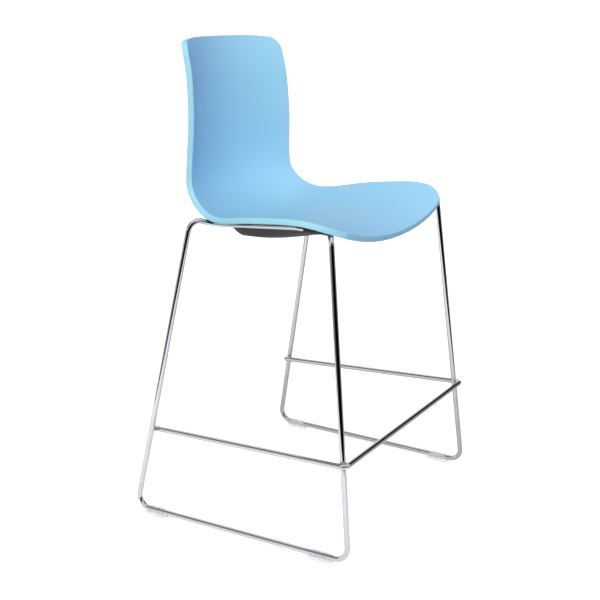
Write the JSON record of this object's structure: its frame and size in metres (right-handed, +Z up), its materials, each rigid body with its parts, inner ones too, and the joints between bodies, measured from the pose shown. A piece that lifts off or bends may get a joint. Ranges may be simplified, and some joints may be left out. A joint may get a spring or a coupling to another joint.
{
  "type": "bar stool",
  "caption": "Counter-height bar stool: a cupped one-piece plastic seat and back on two bent chrome rod loops, with a bent footrest bar and clear glides.",
  "frame": {"origin": "on the floor, under the middle of the floor rails and on the stool's plane of symmetry", "axes": "+Z up; the stool's front faces -Y; +X towards the sitter's left"},
  "size_m": [0.5908, 0.5024, 0.9725],
  "materials": {
    "shell_plastic": "satin moulded, fine grain, pale blue",
    "chrome_rod": "bright chrome plate",
    "weld_metal": "chromed weld bead",
    "strip_steel": "plated with the frame",
    "cover_plastic": "dark grey moulded, fine texture",
    "pad_plastic": "soft black",
    "glide_plastic": "clear moulded",
    "screw_steel": "dark zinc",
    "zinc_steel": "bright zinc",
    "brass_insert": "turned"
  },
  "bodies": {
    "root": {"seat_shell": "shell_plastic", "seat_inserts": "brass_insert", "seat_screws": "screw_steel", "seat_washers": "zinc_steel", "seat_pad_front_right": "pad_plastic", "seat_pad_front_left": "pad_plastic", "seat_pad_rear_right": "pad_plastic", "seat_pad_rear_left": "pad_plastic", "side_frame_right": "chrome_rod", "side_frame_left": "chrome_rod", "front_cross_strip": "strip_steel", "rear_cross_strip": "strip_steel", "strip_welds": "weld_metal", "footrest_bar": "chrome_rod", "footrest_welds": "weld_metal", "under_seat_cover": "cover_plastic", "cover_screws": "screw_steel", "glide_front_right": "glide_plastic", "glide_front_left": "glide_plastic", "glide_rear_right": "glide_plastic", "glide_rear_left": "glide_plastic"}
  },
  "joints": []
}
